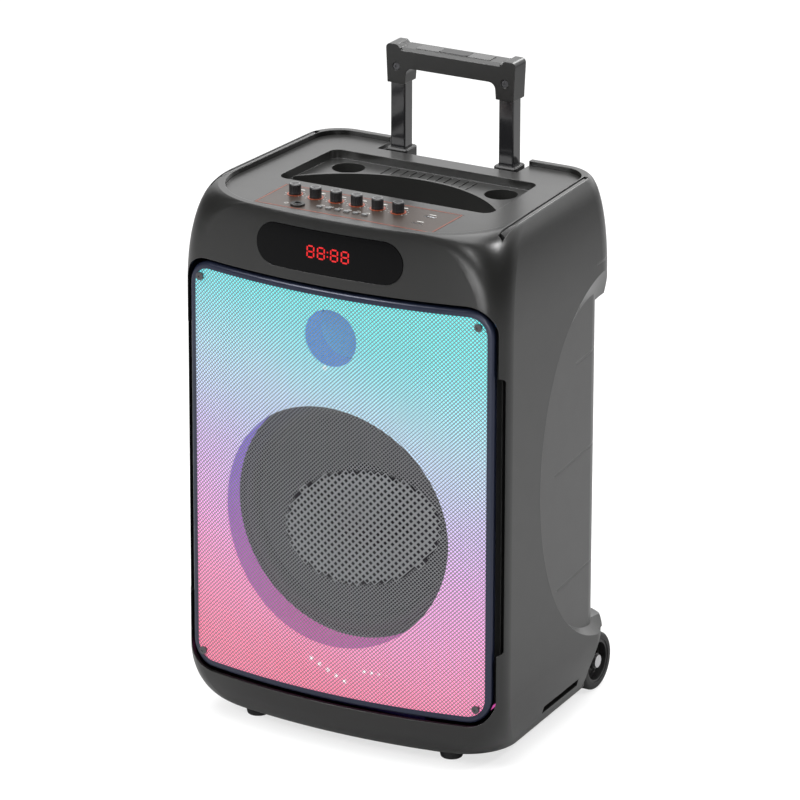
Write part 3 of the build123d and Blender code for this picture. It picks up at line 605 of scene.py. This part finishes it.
def makeGrilleMesh():
    middle, half = boxMiddle("front_grille")
    look = grilleLook
    edge = look["roll"] + look["margin"] - look["tuck"]
    arcHalf = look["bow"] * math.asin(half.x / look["bow"])

    def keep(x, z):
        inside = insideRounded(x, z, arcHalf - edge, half.z - edge, look["corner"] - edge)
        return inside and not inInsert(x, z + middle.z, look["aroundInsert"])

    sheet = perforate("grilleMesh", look, keep)
    bowSheet(sheet, look["bow"])
    sheet.location = (0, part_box("front_grille")[0].y + look["proud"], middle.z)
    applyPlace(sheet)
    return sheet


def pressOnto(thing, node, gap):
    # moves a thin piece straight back until it lies on a node's front
    pickOnly(thing)
    cling = thing.modifiers.new("cling", "SHRINKWRAP")
    cling.target = cadNodes[node]
    cling.wrap_method = "PROJECT"
    cling.use_project_y = True
    cling.use_negative_direction = True
    cling.use_positive_direction = True
    cling.offset = gap
    bpy.ops.object.modifier_apply(modifier=cling.name)


def makeInsertMesh():
    # coarser holes in the oval insert
    def keep(x, z):
        return inInsert(x + insertMiddle.x, z + insertMiddle.z, insertLook["inward"])

    sheet = perforate("grilleInsertMesh", insertLook, keep)
    sheet.location = (insertMiddle.x, -1, insertMiddle.z)
    applyPlace(sheet)
    pressOnto(sheet, "grille_insert", insertLook["gap"])
    return sheet


def paint(thing, finish, body="cabinet"):
    thing.data.materials.clear()
    thing.data.materials.append(finish)
    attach(thing, body)


def unitRing(inner):
    # flat ring of outer radius one, copied and scaled to each mark
    clearAll()
    bpy.ops.mesh.primitive_circle_add(vertices=28, radius=1, fill_type="NGON")
    ring = bpy.context.object
    editMode(ring)
    bpy.ops.mesh.select_all(action="SELECT")
    bpy.ops.mesh.inset(thickness=1 - inner)
    bpy.ops.mesh.delete(type="FACE")
    bpy.ops.mesh.select_all(action="SELECT")
    bpy.ops.mesh.extrude_region_move(TRANSFORM_OT_translate={"value": (0, 0, 1)})
    bpy.ops.mesh.select_all(action="SELECT")
    bpy.ops.mesh.normals_make_consistent(inside=False)
    objectMode()
    return ring


def unitBar():
    # flat bar with cut corners, copied and scaled to each mark
    clearAll()
    bpy.ops.mesh.primitive_plane_add(size=1)
    bar = bpy.context.object
    editMode(bar, "VERT")
    bpy.ops.mesh.select_all(action="SELECT")
    bpy.ops.mesh.bevel(offset=0.22, segments=2, affect="VERTICES")
    bpy.ops.mesh.select_all(action="SELECT")
    bpy.ops.mesh.extrude_region_move(TRANSFORM_OT_translate={"value": (0, 0, 1)})
    bpy.ops.mesh.select_all(action="SELECT")
    bpy.ops.mesh.normals_make_consistent(inside=False)
    objectMode()
    return bar


def stamp(template, place, size, turn=0.0):
    # one more copy of a template, with its own mesh
    copied = template.copy()
    copied.data = template.data.copy()
    copied.location = place
    copied.scale = size
    copied.rotation_euler = (0, 0, turn)
    bpy.context.scene.collection.objects.link(copied)
    return copied


def dropTemplate(template):
    bpy.data.objects.remove(template)


def joinAll(things, name):
    clearAll()
    for thing in things:
        thing.select_set(True)
    bpy.context.view_layer.objects.active = things[0]
    bpy.ops.object.join()
    things[0].name = name
    applyPlace(things[0])
    return things[0]


digitLook = dict(
    tall=0.0118,
    wide=0.0078,
    bar=0.0017,
    thin=0.0002,
    pitch=0.0125,
    places=(-1.62, -0.62, 0.62, 1.62),
    shift=0.001,
    gap=0.00015,
)


def makeDigits():
    # four seven-segment figures and a colon, pressed onto the smoked window
    look = digitLook
    wide, tall, thin = look["wide"], look["tall"], look["thin"]
    bar = unitBar()
    bars = []
    for step in look["places"]:
        centre = step * look["pitch"]
        for row in (-1, 0, 1):
            bars.append(stamp(bar, (centre, row * tall * 0.5, 0), (wide * 0.72, look["bar"], thin)))
        for side in (-1, 1):
            for row in (-1, 1):
                spot = (centre + side * wide * 0.5, row * tall * 0.25, 0)
                bars.append(stamp(bar, spot, (look["bar"], tall * 0.4, thin)))
    for row in (-1, 1):
        bars.append(stamp(bar, (0, row * tall * 0.2, 0), (look["bar"], look["bar"], thin)))
    digits = joinAll(bars, "displayDigits")
    dropTemplate(bar)
    digits.rotation_euler = (math.radians(90), 0, 0)
    digits.location = (look["shift"], -1, boxMiddle("display_window")[0].z)
    applyPlace(digits)
    pressOnto(digits, "display_window", look["gap"])
    return digits


printLook = dict(
    lift=0.00005,
    inset=0.0016,
    line=0.0007,
    thin=0.0001,
    ringHole=0.83,
    knobRing=(0.0084, 0.0084, 0.0003),
    levels=9,
    levelSweep=130,
    levelRadius=0.0103,
    levelBar=(0.0005, 0.0017, 0.0001),
    caption=(0.0066, 0.0012, 0.0001),
    captionUp=0.0150,
    buttonRing=(0.0014, 0.0014, 0.0001),
    buttonBar=(0.0006, 0.0024, 0.0001),
    buttonUp=0.0066,
    buttonSpread=(-0.001, 0.0018),
    slotBar=(0.0078, 0.0009, 0.0001),
    slotUp=0.0058,
    jackRing=(0.0021, 0.0021, 0.0001),
    jackAside=-0.0135,
)


def makeControlPrint():
    # printed outline, rings under the knobs, level marks and small plain icons
    look = printLook
    low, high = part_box("control_plate")
    top = high.z + look["lift"]
    middle = (low + high) / 2
    inset = look["inset"]
    bar = unitBar()
    ring = unitRing(look["ringHole"])
    orange, pale = [], []
    long = (high.x - low.x - 2 * inset, look["line"], look["thin"])
    short = (look["line"], high.y - low.y - 2 * inset, look["thin"])
    for y in (low.y + inset, high.y - inset):
        orange.append(stamp(bar, (middle.x, y, top), long))
    for x in (low.x + inset, high.x - inset):
        orange.append(stamp(bar, (x, middle.y, top), short))
    for number in range(1, 7):
        knob = boxMiddle("knob_%d" % number)[0]
        orange.append(stamp(ring, (knob.x, knob.y, top), look["knobRing"]))
        sweep, radius = look["levelSweep"], look["levelRadius"]
        for step in range(look["levels"]):
            angle = math.radians(-sweep + 2 * sweep / (look["levels"] - 1) * step)
            spot = (knob.x + radius * math.sin(angle), knob.y + radius * math.cos(angle), top)
            pale.append(stamp(bar, spot, look["levelBar"], -angle))
        pale.append(stamp(bar, (knob.x, knob.y + look["captionUp"], top), look["caption"]))
        button = boxMiddle("button_%d" % number)[0]
        left, right = look["buttonSpread"]
        markY = button.y + look["buttonUp"]
        pale.append(stamp(ring, (button.x + left, markY, top), look["buttonRing"]))
        pale.append(stamp(bar, (button.x + right, markY, top), look["buttonBar"]))
    for name in ("usb_socket", "card_socket"):
        slot = boxMiddle(name)[0]
        pale.append(stamp(bar, (slot.x, slot.y + look["slotUp"], top), look["slotBar"]))
    jack = boxMiddle("jack_socket")[0]
    pale.append(stamp(ring, (jack.x + look["jackAside"], jack.y, top), look["jackRing"]))
    dropTemplate(bar)
    dropTemplate(ring)
    return joinAll(orange, "controlOutline"), joinAll(pale, "controlMarks")


capLook = dict(hole=0.80, size=(0.0053, 0.0053, 0.00025), sink=0.00005)


def makeKnobCaps():
    # bright pressed ring on the top of each knob
    template = unitRing(capLook["hole"])
    rings = []
    for number in range(1, 7):
        low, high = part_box("knob_%d" % number)
        middle = (low + high) / 2
        ring = stamp(template, (middle.x, middle.y, high.z - capLook["sink"]), capLook["size"])
        ring.name = "knobCap%d" % number
        applyPlace(ring)
        rings.append(ring)
    dropTemplate(template)
    return rings


detailLooks = {
    "grille paint": dict(colour=(0.16, 0.165, 0.17), roughness=0.4, metal=0.35, wear=0.2),
    # dark rim metal with a navy tint that is painted light from the lit panel
    "grille rim dark with painted glow": dict(colour=(0.012, 0.016, 0.035), roughness=0.3, metal=0.3),
    "orange print": dict(colour=(0.26, 0.045, 0.015), roughness=0.35, metal=0.3),
    "pale print": dict(colour=(0.55, 0.55, 0.53), roughness=0.4),
    "knob ring": dict(colour=(0.16, 0.16, 0.16), roughness=0.3, metal=0.6),
}
details = {name: mouldedMaterial(name, look) for name, look in detailLooks.items()}
redStops = [(0.5, (0.85, 0.004, 0.008)), (0.6, (0.9, 0.006, 0.01))]
redFigures = glowMaterial("red figures", redStops, strength=1.0, base=(0.02, 0.0, 0.0))

rim = makeGrilleRim()
paint(rim, details["grille rim dark with painted glow"])
grilleMesh = makeGrilleMesh()
paint(grilleMesh, details["grille paint"])
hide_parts("front_grille")
insertMesh = makeInsertMesh()
paint(insertMesh, details["grille paint"])
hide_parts("grille_insert")
print("grille ready:", len(grilleMesh.data.polygons), "faces")

digits = makeDigits()
paint(digits, redFigures)
outlinePrint, markPrint = makeControlPrint()
paint(outlinePrint, details["orange print"])
paint(markPrint, details["pale print"])
for number, ring in enumerate(makeKnobCaps(), 1):
    paint(ring, details["knob ring"], "knob_%d_body" % number)
print("display and control print ready")

panelLow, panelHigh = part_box("light_diffuser")
panelLook = {
    "strength": 1.3,
    "base": (0.2, 0.2, 0.2),
    "turn": (0.2, 0.0, 1.0),
    # height above the panel's lower edge, and the colour there
    "stops": [
        (0.0, (0.80, 0.07, 0.20)),
        (0.06, (0.84, 0.14, 0.36)),
        (0.13, (0.76, 0.22, 0.56)),
        (0.22, (0.46, 0.32, 0.68)),
        (0.31, (0.40, 0.58, 0.74)),
        (0.38, (0.10, 0.62, 0.70)),
        (panelHigh.z - panelLow.z, (0.02, 0.64, 0.64)),
    ],
    # rows of small lamps: first place across and up, step across and up, how many, size
    "lampRows": [
        (-0.006, 0.364, 0.0, 0.0, 1, 0.0035),
        (-0.023, 0.038, 0.010, -0.0046, 5, 0.0034),
        (0.040, 0.035, 0.0085, 0.0, 5, 0.0030),
    ],
    "lampDepth": 0.003,
}


def lampPlaces():
    # centres and sizes of the small lamps that show through the panel
    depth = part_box("front_grille")[0].y + panelLook["lampDepth"]
    lamps = []
    for across, up, stepAcross, stepUp, count, size in panelLook["lampRows"]:
        for step in range(count):
            height = panelLow.z + up + stepUp * step
            lamps.append(((across + stepAcross * step, depth, height), size))
    return lamps


finishes["lit_panel"] = glowMaterial(
    "lit panel",
    [(panelLow.z + up, colour) for up, colour in panelLook["stops"]],
    strength=panelLook["strength"],
    base=panelLook["base"],
    turn=panelLook["turn"],
    spots=lampPlaces(),
)
# the white frame is no lamp: its glow is painted light from the lamps falling on it, purple to blue,
# and black beyond reach across
frameLook = {
    "stops": [
        (0.05, (0.7, 0.08, 0.3)),
        (0.20, (0.55, 0.14, 0.62)),
        (0.34, (0.16, 0.14, 0.75)),
        (0.44, (0.06, 0.36, 0.85)),
    ],
    "strength": 0.9,
    "base": (0.02, 0.02, 0.02),
    "reach": 0.1765,
}
finishes["white_frame"] = glowMaterial("frame painted lamp light", **frameLook)
# the tweeter horn and driver are no lamps: their blue glow, fading to dark, is painted lamp light
hornLook = {
    "stops": [(0.29, (0.08, 0.42, 0.80)), (0.32, (0.04, 0.20, 0.60)), (0.35, (0.01, 0.03, 0.18))],
    "strength": 1.0,
    "base": (0.02, 0.02, 0.04),
    "turn": (0.7, 0.0, 0.7),
}
finishes["horn_painted_lamp_light"] = glowMaterial("horn painted lamp light", **hornLook)
print("lit finishes made")

nodeFinish = {"tweeter_horn": "horn_painted_lamp_light", "tweeter_driver": "horn_painted_lamp_light"}

for part in frame["record"]["subparts"]:
    holder = cadNodes[part["node"]]
    finish = finishes[nodeFinish.get(part["node"], part["material_slot"])]
    if not holder.material_slots:
        holder.data.materials.append(finish)
    for place in holder.material_slots:
        place.material = finish
print("frame nodes finished")
